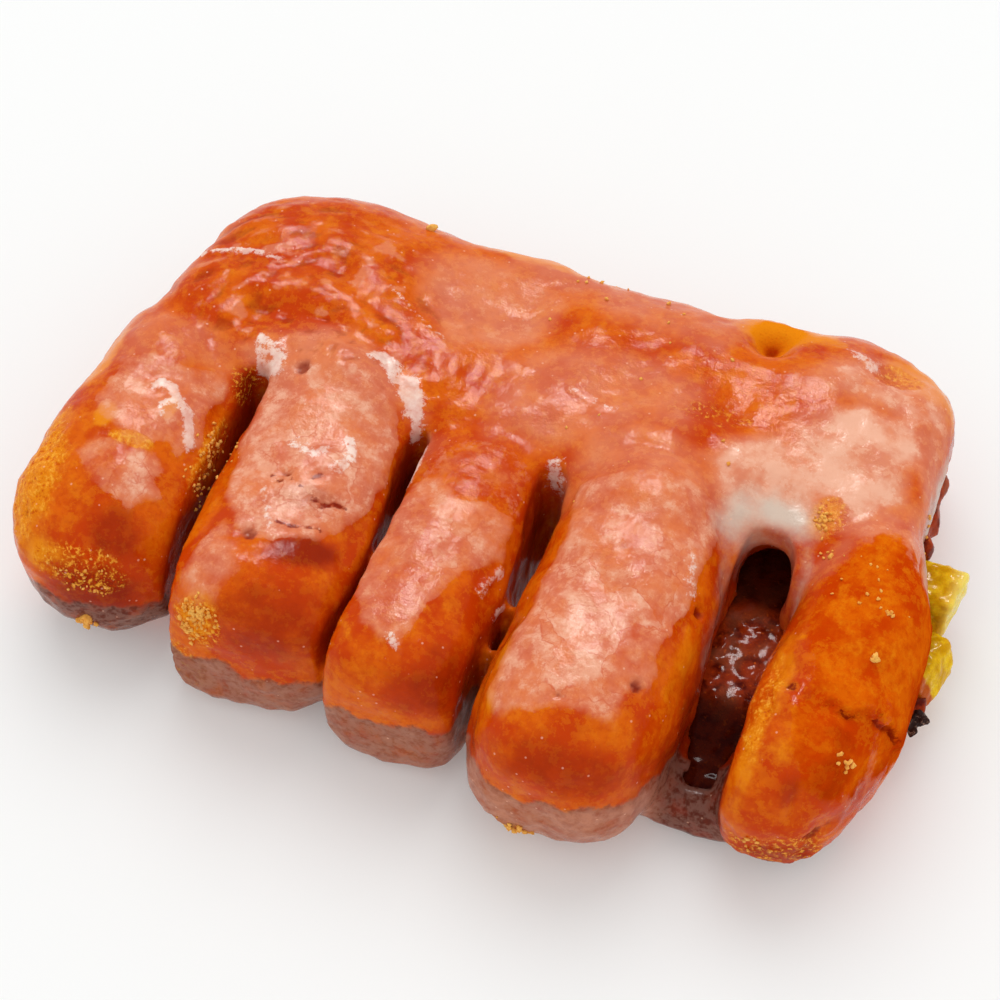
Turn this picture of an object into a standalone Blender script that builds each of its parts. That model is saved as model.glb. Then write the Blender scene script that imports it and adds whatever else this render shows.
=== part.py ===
"""A glazed bear claw: a folded slab of fried dough, slit along one side into five fat fingers.

X runs across the fingers, from the first to the fifth. The fingers point to -Y and the fold is at +Y.
The underside lies on z = 0. Lengths are in millimetres times MM, so that Blender holds metres.
The dough is one solid. A layer of dark apple filling runs through it: it shows along the right side,
where two pieces of apple stick out of it, and on the floor of the wide gap beside the fifth finger.
"""

import math
from typing import NamedTuple

import bmesh
import bpy
from mathutils import Vector, noise

MM = 0.001

# Overall form
SLAB_LEFT, SLAB_RIGHT = -73.5, 73.4
SLAB_FRONT, SLAB_BACK = -10.0, 46.8
SLAB_HEIGHT = 33.8
TAPER_LEFT = 0.0038  # share of the left half's width lost per millimetre towards the fold
BACK_SWELLS = ((-45.0, 18.0, 5.0), (-11.0, 9.0, 2.0), (56.0, 14.0, 3.4))  # x, reach, size along the fold
SINK = 1.6  # how far the round forms reach below the table before their bottoms are cut flat
CLEARANCE = 0.35  # air between two solids that touch

# Mesh finish
FORM_CUTS, CUTTER_CUTS = 22, 7
DOUGH_VOXEL, DOUGH_SMOOTHING, DOUGH_TRIANGLES = 1.3, 5, 7000
FILLING_VOXEL, FILLING_SMOOTHING, FILLING_TRIANGLES = 1.2, 3, 1100
FILLING_UNEVEN = 0.5  # the filling's unevenness as a share of the dough's


class Finger(NamedTuple):
    """One finger: its sides at mid-length, its tip, its height and how it is bent."""

    left: float
    right: float
    root: float  # y of the inner end, buried in the slab
    tip: float
    height: float
    side_power: float  # 2 is a round section, more is boxier
    tip_power: float  # 2 is a pointed tip, more is blunter
    root_share: float  # width at the root as a share of the full width
    bow: float  # how far the middle stands out to the right
    lean: float  # how far the tip is carried to the right


class Slit(NamedTuple):
    """A cut between two fingers: where it runs, its inner end, and how wide it gapes."""

    x: float
    root: float
    root_width: float
    middle_width: float
    tip_width: float
    lean: float  # how far the outer end is carried to the right


class Bump(NamedTuple):
    """A low swelling, or a dent where the height is negative, on the upper surface."""

    x: float
    y: float
    reach_x: float
    reach_y: float
    height: float


class Crease(NamedTuple):
    """A fold line on the upper surface through a few points, or a ridge where the depth is negative."""

    points: tuple
    width: float
    depth: float


FINGERS = (
    Finger(-80.5, -45.0, 16.0, -45.0, 35.0, 2.5, 2.8, 0.8, 1.6, 0.0),
    Finger(-46.5, -13.5, 16.0, -48.0, 34.8, 2.8, 6.0, 1.0, 0.0, -1.0),
    Finger(-15.0, 12.0, 6.0, -50.5, 34.0, 2.8, 6.0, 0.98, -0.5, -2.4),
    Finger(11.0, 44.8, 8.0, -58.0, 37.6, 2.5, 3.6, 0.94, 0.5, -2.0),
    Finger(52.6, 78.4, 15.0, -52.0, 35.6, 2.4, 2.8, 0.84, 2.5, -5.4),
)

SLITS = (
    Slit(-45.4, 2.5, 3.4, 2.4, 5.5, -0.8),
    Slit(-13.6, 0.0, 2.8, 1.7, 2.2, -2.2),
    Slit(10.6, -1.2, 4.0, 1.8, 2.4, -1.0),
)
SLIT_FLARE = 1.5  # the slit is this much wider at the top than at mid-height
SLIT_END = -64.0

BUMPS = (
    Bump(-50.0, 32.0, 20.0, 14.0, 2.6),
    Bump(-32.0, 6.0, 12.0, 9.0, 2.2),
    Bump(-8.0, 30.0, 13.0, 12.0, -3.2),
    Bump(-8.0, 8.0, 8.0, 8.0, -1.2),
    Bump(28.0, 4.0, 15.0, 11.0, 3.0),
    Bump(60.0, 20.0, 13.0, 12.0, 0.8),
    Bump(52.0, 32.0, 9.0, 7.0, 0.8),
    Bump(49.0, 4.0, 7.0, 6.0, -2.4),
    Bump(-62.0, 12.0, 12.0, 10.0, 0.8),
)

PITS = (
    Bump(38.0, 37.0, 3.2, 2.6, -6.0),
    Bump(59.0, 36.5, 4.2, 2.6, -2.2),
)

CREASES = (
    Crease(((-60.0, 24.0), (-48.0, 27.0), (-38.0, 25.0), (-27.0, 18.0), (-18.0, 11.0)), 3.2, 0.7),
    Crease(((-50.0, 12.0), (-36.0, 14.0), (-25.0, 10.0), (-17.5, 4.0), (-13.6, -3.0)), 3.2, 1.1),
    Crease(((33.0, 9.0), (39.0, 4.0), (43.5, -3.0)), 2.6, 0.9),
    Crease(((66.0, 31.0), (69.6, 22.0), (71.2, 10.0), (71.6, 0.0)), 2.0, -0.7),
    Crease(((58.0, -28.0), (67.0, -33.0), (76.0, -35.0)), 2.4, 1.2),
)

UNEVEN = ((26.0, 1.0), (11.0, 0.5), (5.5, 0.22))  # wavelength and height of the surface's unevenness
TOP_FADE = (14.0, 24.0)  # relief grows in between these heights, and the sides stay plain

# The wide gap between the fourth and the fifth finger
FLOOR_LEFT, FLOOR_RIGHT = 38.0, 60.0
FLOOR_FRONT, FLOOR_BACK = -45.5, 8.0
FLOOR_HEIGHT = 10.0
GAP_LOW, GAP_HIGH = (43.9, -70.0, 9.0), (54.3, -1.0, 48.0)
MOUTH_LOW, MOUTH_HIGH = (72.0, -15.0, 8.0), (86.0, 36.0, 18.6)  # the fold's open edge on the right side
POCKET_CENTRE = (49.5, -1.0, 17.0)
POCKET_HALF = (5.4, 7.5, 7.5)

# The filling: a main layer, a lobe to the right side and a tongue on the gap's floor
LAYER_LOW, LAYER_HIGH = 9.5, 17.0
LAYER_LEFT, LAYER_RIGHT = -61.0, 73.2
LAYER_FRONT, LAYER_BACK = 7.0, 33.0
LOBE_LEFT, LOBE_FRONT = 57.0, -15.0
TONGUE_LEFT, TONGUE_RIGHT, TONGUE_FRONT = 41.5, 57.5, -42.0
TONGUE_LOW, TONGUE_HIGH = 6.5, 14.5
TONGUE_DROP, TONGUE_STEP = 5.0, (27.0, 34.0)  # how far its outer end steps down, and over which -Y
LUMPS = (
    (71.6, 29.0, 13.5, 3.2),
    (71.8, 22.0, 12.0, 3.4),
    (72.4, 14.5, 14.5, 3.0),
    (73.6, 0.4, 15.4, 3.0),
    (74.0, -13.0, 12.5, 3.0),
)
BURNT_LUMPS = (
    (77.4, -15.8, 10.0, 2.6),
    (79.6, -14.4, 11.2, 2.0),
    (79.2, -17.6, 9.4, 1.8),
)


class Apple(NamedTuple):
    """A diced piece of cooked apple, half sunk in the filling."""

    centre: tuple
    half: tuple
    turn: tuple  # degrees about X, Y and Z
    slant: float  # how far the top leans


APPLES = {
    "apple_upper": Apple((76.4, 7.1, 12.8), (5.2, 5.0, 4.2), (6.0, -14.0, -12.0), 0.2),
    "apple_lower": Apple((77.0, -7.0, 10.4), (4.8, 5.8, 3.8), (-4.0, -10.0, -16.0), -0.12),
}


def clear_scene():
    for thing in list(bpy.data.objects):
        bpy.data.objects.remove(thing)


def collection_named(name):
    made = bpy.data.collections.new(name)
    bpy.context.scene.collection.children.link(made)
    return made


def material_named(name, colour, roughness, subsurface=0.0):
    made = bpy.data.materials.new(name)
    made.use_nodes = True
    shader = made.node_tree.nodes["Principled BSDF"]
    shader.inputs["Base Color"].default_value = (*colour, 1.0)
    shader.inputs["Roughness"].default_value = roughness
    shader.inputs["Metallic"].default_value = 0.0
    shader.inputs["Subsurface Weight"].default_value = subsurface
    return made


def smoothstep(value, low, high):
    share = min(1.0, max(0.0, (value - low) / (high - low)))
    return share * share * (3.0 - 2.0 * share)


def rounded_bar(point, section_power, length_power):
    """A point of a cube moved to a bar along Y with a rounded section and rounded ends."""
    x, y, z = (abs(value) for value in point)
    section = (x**section_power + z**section_power) ** (1.0 / section_power)
    size = (section**length_power + y**length_power) ** (1.0 / length_power)
    return Vector(point) / size


def add_form(bm, shape, cuts=FORM_CUTS):
    """Adds a finely cut cube to bm, with each of its points moved by shape, which works in mm."""
    cube = bmesh.new()
    bmesh.ops.create_cube(cube, size=2.0)
    bmesh.ops.subdivide_edges(cube, edges=cube.edges[:], cuts=cuts, use_grid_fill=True)
    for vert in cube.verts:
        vert.co = shape(vert.co) * MM
    mesh = bpy.data.meshes.new("form")
    cube.to_mesh(mesh)
    cube.free()
    bm.from_mesh(mesh)
    bpy.data.meshes.remove(mesh)


def finger_shape(finger):
    half_width = (finger.right - finger.left) / 2
    middle = (finger.right + finger.left) / 2
    half_length = (finger.root - finger.tip) / 2
    half_height = (finger.height + SINK) / 2

    def shape(point):
        bar = rounded_bar(point, finger.side_power, finger.tip_power)
        y = (finger.root + finger.tip) / 2 + bar.y * half_length
        along = (finger.root - y) / (2 * half_length)  # 0 at the root, 1 at the tip
        width = half_width * (finger.root_share + (1 - finger.root_share) * smoothstep(along, 0.1, 0.7))
        bend = finger.bow * math.sin(math.pi * along) + finger.lean * along * along
        x = middle + bar.x * width + bend
        z = half_height - SINK + bar.z * half_height
        return Vector((x, y, z))

    return shape


def slab_shape():
    half_width = (SLAB_RIGHT - SLAB_LEFT) / 2
    half_depth = (SLAB_BACK - SLAB_FRONT) / 2
    half_height = (SLAB_HEIGHT + SINK) / 2

    def shape(point):
        bar = rounded_bar((point.y, point.x, point.z), 2.9, 6.0)
        y = (SLAB_BACK + SLAB_FRONT) / 2 + bar.x * half_depth
        taper = TAPER_LEFT if bar.y < 0 else 0.0
        x = (SLAB_RIGHT + SLAB_LEFT) / 2 + bar.y * half_width * (1 - taper * max(0.0, y))
        for swell_x, reach, size in BACK_SWELLS:
            y += max(0.0, bar.x) * size * math.exp(-(((x - swell_x) / reach) ** 2))
        z = half_height - SINK + bar.z * half_height
        return Vector((x, y, z))

    return shape


def block_shape(low, high, section_power=3.5, length_power=5.0):
    """A soft block between two corners, longest along Y."""
    middle = [(a + b) / 2 for a, b in zip(low, high)]
    half = [(b - a) / 2 for a, b in zip(low, high)]

    def shape(point):
        bar = rounded_bar(point, section_power, length_power)
        return Vector(m + h * b for m, h, b in zip(middle, half, bar))

    return shape


def ball_shape(centre, radius):
    def shape(point):
        return Vector(centre) + point.normalized() * radius

    return shape


def object_from(bm, name, collection):
    mesh = bpy.data.meshes.new(name)
    bm.to_mesh(mesh)
    bm.free()
    made = bpy.data.objects.new(name, mesh)
    collection.objects.link(made)
    return made


def bake_modifiers(thing):
    """Replaces the object's mesh by its evaluated one, and drops its modifiers."""
    evaluated = thing.evaluated_get(bpy.context.evaluated_depsgraph_get())
    baked = bpy.data.meshes.new_from_object(evaluated)
    old = thing.data
    thing.modifiers.clear()
    thing.data = baked
    bpy.data.meshes.remove(old)
    baked.name = thing.name


def fuse(thing, voxel, smoothing):
    """Makes the overlapping forms one skin, and softens the lines where they meet."""
    remesh = thing.modifiers.new("one_skin", "REMESH")
    remesh.mode = "VOXEL"
    remesh.voxel_size = voxel * MM
    smooth = thing.modifiers.new("soften", "SMOOTH")
    smooth.factor = 0.5
    smooth.iterations = smoothing
    bake_modifiers(thing)


def thin_out(thing, triangles):
    """Lowers the mesh to about this many triangles."""
    thing.data.calc_loop_triangles()
    decimate = thing.modifiers.new("fewer_faces", "DECIMATE")
    decimate.ratio = min(1.0, triangles / len(thing.data.loop_triangles))
    bake_modifiers(thing)


def cut_away(thing, cutter):
    cut = thing.modifiers.new("cut_" + cutter.name, "BOOLEAN")
    cut.operation = "DIFFERENCE"
    cut.object = cutter


def as_cutter(thing):
    thing.hide_render = True
    thing.display_type = "WIRE"
    return thing


def distance_to_line(x, y, points):
    """How far (x, y) lies from a line through the points."""
    best = math.inf
    for (ax, ay), (bx, by) in zip(points, points[1:]):
        dx, dy = bx - ax, by - ay
        along = ((x - ax) * dx + (y - ay) * dy) / (dx * dx + dy * dy)
        along = min(1.0, max(0.0, along))
        best = min(best, math.hypot(x - ax - along * dx, y - ay - along * dy))
    return best


def swelling(bump, x, y):
    across, along = (x - bump.x) / bump.reach_x, (y - bump.y) / bump.reach_y
    return bump.height * math.exp(-across * across - along * along)


def relief(x, y):
    """Height added to the upper surface at (x, y) by swellings, pits and folds."""
    height = sum(swelling(bump, x, y) for bump in BUMPS + PITS)
    for crease in CREASES:
        away = distance_to_line(x, y, crease.points) / crease.width
        height -= crease.depth * (1 - 0.7 * away * away) * math.exp(-away * away / 2)
    return height


def unevenness(point):
    """The dough's own unevenness at a point in mm."""
    return sum(
        height * noise.noise(Vector(point) / wavelength + Vector((wavelength, 0, 0)))
        for wavelength, height in UNEVEN
    )


def move_points(thing, shift):
    """Moves each point by shift(place, normal), which works in mm."""
    verts = thing.data.vertices
    moved = [vert.co + shift(vert.co / MM, vert.normal) * MM for vert in verts]
    for vert, place in zip(verts, moved):
        vert.co = place


def dough_relief(place, normal):
    """Folds and swellings on top, and unevenness all over."""
    top = smoothstep(place.z, *TOP_FADE)
    low = smoothstep(place.z, 0.0, 5.0)
    return Vector((0, 0, relief(place.x, place.y) * top)) + normal * unevenness(place) * low


def make_slit_cutter(slit, index, cutters):
    """A thin upright blade, round at its inner end, that gapes towards the tips and the top."""
    length = slit.root - SLIT_END
    low, high = -4.0, 44.0

    def shape(point):
        along = ((1 - point.y) / 2) ** 2  # 0 at the root, 1 past the tips
        y = slit.root - length * along
        inner = slit.root_width * (1 - smoothstep(along, 0.1, 0.35))
        inner += slit.middle_width * smoothstep(along, 0.1, 0.35)
        width = inner + (slit.tip_width - slit.middle_width) * smoothstep(along, 0.45, 0.8)
        round_end = math.sqrt(1 - (1 - min(1.0, along * length / (slit.root_width / 2))) ** 2)
        z = low + (high - low) * (point.z + 1) / 2
        flare = 1 + (SLIT_FLARE - 1) * smoothstep(z, 18.0, 34.0)
        half = width / 2 * flare * max(0.12, round_end)
        wander = 0.6 * math.sin(along * 7.0 + index * 2.0) + slit.lean * smoothstep(along, 0.3, 0.8)
        return Vector((slit.x + wander + point.x * half, y, z))

    bm = bmesh.new()
    add_form(bm, shape, CUTTER_CUTS)
    return as_cutter(object_from(bm, f"slit_{index}", cutters))


def make_table_cutter(cutters):
    reach, depth = 120.0, 12.0
    bm = bmesh.new()
    bmesh.ops.create_cube(bm, size=2.0)
    for vert in bm.verts:
        vert.co = Vector((vert.co.x * reach, vert.co.y * reach, (vert.co.z - 1) * depth / 2)) * MM
    return as_cutter(object_from(bm, "table", cutters))


def make_opening_cutters(cutters):
    """The wide gap, the dark pocket under the slab at its inner end, and the fold's open right edge."""

    def pocket_shape(point):
        return Vector(c + h * p for c, h, p in zip(POCKET_CENTRE, POCKET_HALF, point.normalized()))

    made = []
    shapes = {
        "gap": block_shape(GAP_LOW, GAP_HIGH, 3.0, 5.0),
        "pocket": pocket_shape,
        "mouth": block_shape(MOUTH_LOW, MOUTH_HIGH, 3.0, 6.0),
    }
    for name, shape in shapes.items():
        bm = bmesh.new()
        add_form(bm, shape, CUTTER_CUTS)
        made.append(as_cutter(object_from(bm, name, cutters)))
    return made


def make_grown_copy(thing, name, cutters):
    """A cutter a clearance larger than the thing, for the hollow that it lies in."""
    grown = bpy.data.objects.new(name, thing.data.copy())
    cutters.objects.link(grown)
    move_points(grown, lambda place, normal: normal * CLEARANCE)
    return as_cutter(grown)


def make_dough(collection):
    bm = bmesh.new()
    add_form(bm, slab_shape())
    for finger in FINGERS:
        add_form(bm, finger_shape(finger))
    add_form(bm, block_shape((FLOOR_LEFT, FLOOR_FRONT, -SINK), (FLOOR_RIGHT, FLOOR_BACK, FLOOR_HEIGHT)))
    dough = object_from(bm, "dough", collection)
    fuse(dough, DOUGH_VOXEL, DOUGH_SMOOTHING)
    move_points(dough, dough_relief)
    thin_out(dough, DOUGH_TRIANGLES)
    return dough


def make_filling(collection):
    bm = bmesh.new()
    layer = ((LAYER_LEFT, LAYER_FRONT, LAYER_LOW), (LAYER_RIGHT, LAYER_BACK, LAYER_HIGH))
    lobe = ((LOBE_LEFT, LOBE_FRONT, LAYER_LOW), (LAYER_RIGHT, LAYER_BACK, LAYER_HIGH - 1.0))
    for low, high in (layer, lobe):
        add_form(bm, block_shape(low, high, 8.0, 8.0))
    tongue_low = (TONGUE_LEFT, TONGUE_FRONT, TONGUE_LOW)
    tongue_high = (TONGUE_RIGHT, LAYER_FRONT, TONGUE_HIGH)
    tongue = block_shape(tongue_low, tongue_high, 4.0, 5.0)

    def sloping_tongue(point):
        place = tongue(point)
        place.z -= TONGUE_DROP * smoothstep(-place.y, *TONGUE_STEP)
        return place

    add_form(bm, sloping_tongue)
    for x, y, z, radius in LUMPS + BURNT_LUMPS:
        add_form(bm, ball_shape((x, y, z), radius))
    filling = object_from(bm, "filling", collection)
    fuse(filling, FILLING_VOXEL, FILLING_SMOOTHING)
    move_points(filling, lambda place, normal: normal * unevenness(place) * FILLING_UNEVEN)
    thin_out(filling, FILLING_TRIANGLES)
    return filling


def make_apple(name, apple, collection):
    """A diced cube with slanting faces and softened edges."""
    half_x, half_y, half_z = apple.half
    bm = bmesh.new()
    bmesh.ops.create_cube(bm, size=2.0)
    for vert in bm.verts:
        x, y, z = vert.co
        lean = 1 + apple.slant * z
        vert.co = Vector((x * half_x * lean, y * half_y / lean, z * half_z)) * MM
    piece = object_from(bm, name, collection)
    piece.rotation_euler = [math.radians(angle) for angle in apple.turn]
    piece.location = Vector(apple.centre) * MM
    bevel = piece.modifiers.new("soft_edges", "BEVEL")
    bevel.width = 1.1 * MM
    bevel.segments = 2
    return piece


def grown_apple(name, apple, cutters):
    """The same piece of apple, a clearance larger each way."""
    half = tuple(size + CLEARANCE for size in apple.half)
    return as_cutter(make_apple(name, apple._replace(half=half), cutters))


def main():
    clear_scene()
    claw = collection_named("bear_claw")
    cutters = collection_named("cutters")
    dough = make_dough(claw)
    filling = make_filling(claw)
    hollow = make_grown_copy(filling, "hollow", cutters)
    for index, slit in enumerate(SLITS, 1):
        cut_away(dough, make_slit_cutter(slit, index, cutters))
    for cutter in (make_table_cutter(cutters), *make_opening_cutters(cutters), hollow):
        cut_away(dough, cutter)
    crust = material_named("crust", (0.47, 0.11, 0.02), 0.4, 0.1)
    jam = material_named("apple_filling", (0.09, 0.018, 0.008), 0.2)
    fruit = material_named("apple", (0.72, 0.47, 0.05), 0.35, 0.2)
    dough.data.materials.append(crust)
    filling.data.materials.append(jam)
    for name, apple in APPLES.items():
        piece = make_apple(name, apple, claw)
        piece.data.materials.append(fruit)
        pocket = grown_apple(name + "_pocket", apple, cutters)
        cut_away(filling, pocket)
        cut_away(dough, pocket)


main()
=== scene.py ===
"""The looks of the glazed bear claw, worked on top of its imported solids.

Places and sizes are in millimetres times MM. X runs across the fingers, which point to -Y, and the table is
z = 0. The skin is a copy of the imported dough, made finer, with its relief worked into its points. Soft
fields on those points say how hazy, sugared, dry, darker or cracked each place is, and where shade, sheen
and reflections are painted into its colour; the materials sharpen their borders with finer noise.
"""

import itertools
import math
import random
from typing import NamedTuple

import bmesh
import bpy
import numpy as np
from mathutils import Matrix, Vector
from mathutils.bvhtree import BVHTree


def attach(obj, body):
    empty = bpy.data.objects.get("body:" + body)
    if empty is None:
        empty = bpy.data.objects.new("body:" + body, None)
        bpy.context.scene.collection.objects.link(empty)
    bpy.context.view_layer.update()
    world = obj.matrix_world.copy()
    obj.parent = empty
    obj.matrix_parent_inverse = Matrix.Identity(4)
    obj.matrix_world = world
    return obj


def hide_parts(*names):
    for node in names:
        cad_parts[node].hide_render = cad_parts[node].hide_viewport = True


MM = 0.001

# Where the camera stands round the object in degrees, and how far from its target in metres
CAMERA_AZIMUTH = 19.0
CAMERA_ELEVATION = 55.0
CAMERA_DISTANCE = 0.45
CAMERA_TARGET = (0.0, 0.0, 0.015)
CAMERA_LENS = 91.8
CAMERA_SENSOR = 36.0

# How fine each piece is made in mm, and how many rounds of smoothing take away its solid's facets
SKIN_VOXEL = 0.87
SKIN_SMOOTHING = 7
FILLING_VOXEL = 0.6
FILLING_SMOOTHING = 2
APPLE_VOXEL = 0.4
APPLE_SMOOTHING = 3
SCRAP_VOXEL = 0.25

# A stroke's height counts this much in its distance, so that it follows a surface that dips under it
STROKE_HEIGHT_SHARE = 0.4


class Layer(NamedTuple):
    """A layer of noise, with height and wavelength in mm: a squeeze below 1 draws it out along that axis."""

    height: float
    wavelength: float
    seed: int
    squeeze: tuple = (1.0, 1.0, 1.0)


class Patch(NamedTuple):
    """An oval place on the surface: its centre, its three half sizes, its turn and its strength."""

    centre: tuple
    reach: tuple
    turn: float = 0.0
    strength: float = 1.0


class Stroke(NamedTuple):
    """A line along the surface through a few points, with its half width and its strength."""

    points: tuple
    width: float
    strength: float = 1.0


class Sheet(NamedTuple):
    """A sheet of glaze on the top: its outline seen from above, its strength and how soft its border is."""

    outline: tuple
    strength: float
    softness: float = 1.6


class FingerLook(NamedTuple):
    """How high the low band of run-down glaze and painted floor reflection reaches on a finger's tip, and
    how pale it is.
    """

    left: float
    right: float
    band_top: float
    band_reflection: float


FINGER_LOOKS = (
    FingerLook(-90.0, -45.4, 16.5, 0.0),
    FingerLook(-45.4, -14.0, 16.0, 0.25),
    FingerLook(-14.0, 10.6, 17.0, 0.25),
    FingerLook(10.6, 43.0, 20.5, 0.42),
    FingerLook(43.0, 54.5, 15.0, 0.0),
    FingerLook(54.5, 90.0, 6.0, 0.1),
)

# How far from its edge a finger's look starts to blend into the next one's
LOOK_BLEND = 1.6

# Sheets of hazy glaze with a crisp, torn border, painted paler also as a sheen of the light above
FLAKES = (
    Sheet((
        (-67.5, -5), (-62.5, -2.5), (-57, -3), (-50.5, 0), (-49, -2), (-49.5, -9.5), (-48.5, -16.5),
        (-51, -21), (-53.5, -19.5), (-58.5, -22.5), (-62, -20.5), (-64.5, -19.5), (-68.5, -15),
    ), 0.62),
    Sheet((
        (-65, -22), (-62, -22.5), (-58.5, -24), (-54, -21.5), (-51.5, -24), (-51.5, -28.5), (-54.5, -33.5),
        (-59.5, -33), (-63.5, -31), (-67.5, -27),
    ), 0.55),
    Sheet(((-59.2, -25.5), (-56, -22.5), (-53.5, -25), (-51.5, -28.5), (-54.3, -33), (-57.5, -31.5)), 0.95),
    Sheet((
        (-43, 1), (-35, 3), (-27, 6), (-19.8, 3), (-16.5, -5.5), (-16, -10), (-16.5, -20), (-19.7, -25.5),
        (-21, -28.5), (-28, -33.7), (-34, -33.3), (-38.7, -27.7), (-41.3, -20), (-42.8, -12), (-42.5, -6.5),
    ), 0.8),
    Sheet((
        (-38.5, -29.5), (-34, -35), (-31.5, -40), (-33, -45), (-37, -46.5), (-41, -45.5), (-41, -37.5),
    ), 0.62),
    Sheet((
        (-11, -12), (-13.5, -18), (-14, -24), (-13, -38), (-6, -44.3), (-1.7, -45.2), (0, -40.4),
        (1.3, -30.5), (5, -25.8), (7, -21), (8, -15.5), (4, -13), (-2, -14.5), (-6, -11),
    ), 0.64),
    Sheet((
        (-12, -4), (-11, -12), (-6, -11), (-2, -14.5), (4, -13), (8, -15), (8.2, -3), (3, 0), (-4, 0),
    ), 0.34),
    Sheet((
        (15.5, -4), (21, -3), (28.5, 0), (33.5, 0.5), (38.8, -1), (41, -8), (40.5, -16), (39.4, -25),
        (37.4, -32), (39.8, -37), (37, -43), (35, -47.5), (31.8, -49), (28.5, -48.2), (23.6, -50.5),
        (16.6, -50.5), (13.5, -46), (14.5, -39), (15.5, -32), (16.7, -24), (16.6, -15),
    ), 0.66),
    Sheet((
        (24, -12), (31, -9), (36, -14), (37, -22), (34, -32), (35, -40), (30, -45), (22, -46), (18, -40),
        (20, -32), (22, -22),
    ), 0.76, 2.0),
)

# Thin haze that fades out, painted paler also as a sheen of the light above
VEILS = (
    Sheet((
        (33.5, 6.5), (39, 12), (47.5, 19), (56, 27), (64, 28.5), (69, 22), (67.5, 11.5), (64, 5.5),
        (56.5, 6), (53, 0.5), (46, -3), (41, -2.5),
    ), 0.93, 3.0),
    Sheet((
        (-26, 31), (-22, 38), (-10.5, 42), (-0.5, 35), (-0.3, 22.5), (-8, 18), (-15, 16.5), (-20, 20.5),
    ), 0.5, 3.0),
    Sheet(((-5, 6), (-3, 20), (10, 25), (29, 23), (30.5, 10.5), (22, 10), (10, 2), (-1, 1)), 0.42, 4.0),
    Sheet((
        (-50, 4.5), (-41, 11.5), (-30, 11.5), (-21, 8), (-15, 1), (-25, -1), (-36, -3), (-46, 0),
    ), 0.5, 2.5),
    Sheet(((-72, 4), (-64, 6), (-52, 5), (-49, 0), (-58, -4), (-67, -5)), 0.35, 3.0),
    Sheet(((12, -3), (14, 6), (24, 9.5), (34, 7), (40, -1), (30, -3)), 0.4, 2.5),
    Sheet(((44, 27), (52, 38), (66, 40), (74, 30), (66, 26), (56, 27)), 0.7, 3.0),
    Sheet(((66, 26), (70, 34), (76, 26), (76, -4), (70, 0), (70, 14)), 0.6, 2.0),
    Sheet(((-12, 40), (12, 33), (30, 31), (34, 37), (30, 48), (-10, 52)), 0.42, 3.0),
    Sheet(((54, 3), (58, 9), (68, 9), (75, 0), (75, -7), (70, -1), (64, -0.5)), 0.5, 1.5),
    Sheet(((-78, 4), (-76, 30), (-66, 44), (-60, 42), (-66, 28), (-69, 8)), 0.5, 3.0),
)

# White sugar that has dried opaque
SUGAR = (
    Stroke(((-59.4, -9.6, 34.7), (-58.6, -8.2, 34.7), (-56.6, -9.0, 34.5), (-54.5, -11.2, 33.9),
            (-52.5, -12.6, 33.0), (-51.6, -14.8, 32.5), (-50.2, -17.8, 31.5)), 0.95),
    Stroke(((-54.9, -11.3, 34.0), (-57.2, -12.6, 34.4), (-56.4, -14.6, 34.2)), 0.7, 0.85),
    Stroke(((-46.4, 6.4, 31.5), (-44.6, 4.4, 31.5), (-42.9, 5.6, 32.3), (-41.8, 3.2, 32.5),
            (-42.8, 1.4, 32.5)), 1.5),
    Stroke(((-45.2, 2.6, 31.0), (-43.4, 1.6, 31.8), (-41.0, 1.3, 33.4)), 1.1, 0.9),
    Stroke(((-25.6, 9.0, 34.2), (-23.0, 8.8, 33.8)), 1.6),
    Stroke(((-23.0, 8.0, 33.8), (-21.6, 5.8, 33.2), (-19.4, 6.0, 33.0)), 1.0),
    Stroke(((-19.4, 6.4, 33.0), (-17.4, 4.4, 32.2), (-16.0, 1.8, 31.2)), 1.9),
    Stroke(((-18.8, 3.6, 32.5), (-17.4, 2.4, 32.0)), 1.2),
    Stroke(((-16.6, 1.8, 31.0), (-15.0, -0.6, 29.4), (-14.6, -2.4, 28.4)), 1.1, 0.9),
    Stroke(((10.4, -0.6, 29.0), (10.9, -3.0, 27.5), (10.4, -6.0, 25.5)), 1.7, 0.85),
    Stroke(((52.5, 38.5, 29.5), (56.5, 37.6, 30.0)), 1.7, 0.8),
    Stroke(((59.0, 24.0, 30.5), (61.5, 22.6, 30.5)), 0.8, 0.75),
    Stroke(((-12.4, -3.0, 30.0), (-11.9, -6.5, 29.6), (-12.1, -10.9, 29.2),
            (-13.4, -15.0, 28.0)), 0.5, 0.9),
    Stroke(((9.8, -25.9, 24.0), (9.4, -29.7, 24.7)), 0.45, 0.9),
    Stroke(((6.4, -28.9, 29.8), (7.1, -25.8, 29.6), (7.9, -22.5, 28.8)), 0.9, 0.72),
    Stroke(((-64.5, 22.6, 30.5), (-61.0, 23.9, 32.4), (-56.1, 24.9, 33.7), (-49.5, 23.9, 34.6)), 0.8, 0.8),
    Stroke(((-29.0, 24.8, 34.1), (-24.5, 22.0, 33.9), (-19.5, 18.7, 33.7), (-15.0, 16.3, 33.4)), 0.7, 0.66),
    Stroke(((8.0, 13.8, 33.6), (12.0, 12.4, 34.0), (16.5, 11.5, 34.5)), 0.9, 0.6),
    Stroke(((-32.5, -13.0, 34.5), (-29.0, -14.6, 34.6), (-26.6, -12.9, 34.5)), 1.5, 0.66),
    Stroke(((-23.8, -9.4, 34.2), (-22.4, -12.6, 33.8), (-23.9, -15.6, 34.2)), 1.6, 0.7),
    Stroke(((-33.7, -23.6, 34.4), (-31.5, -27.4, 34.5), (-29.8, -30.6, 34.7)), 0.9, 0.62),
    Stroke(((-3.8, -43.2, 33.2), (-2.6, -44.6, 33.0)), 1.1, 0.72),
    Stroke(((39.6, -20.4, 34.0), (38.0, -13.8, 34.8)), 1.6, 0.58),
)

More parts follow.
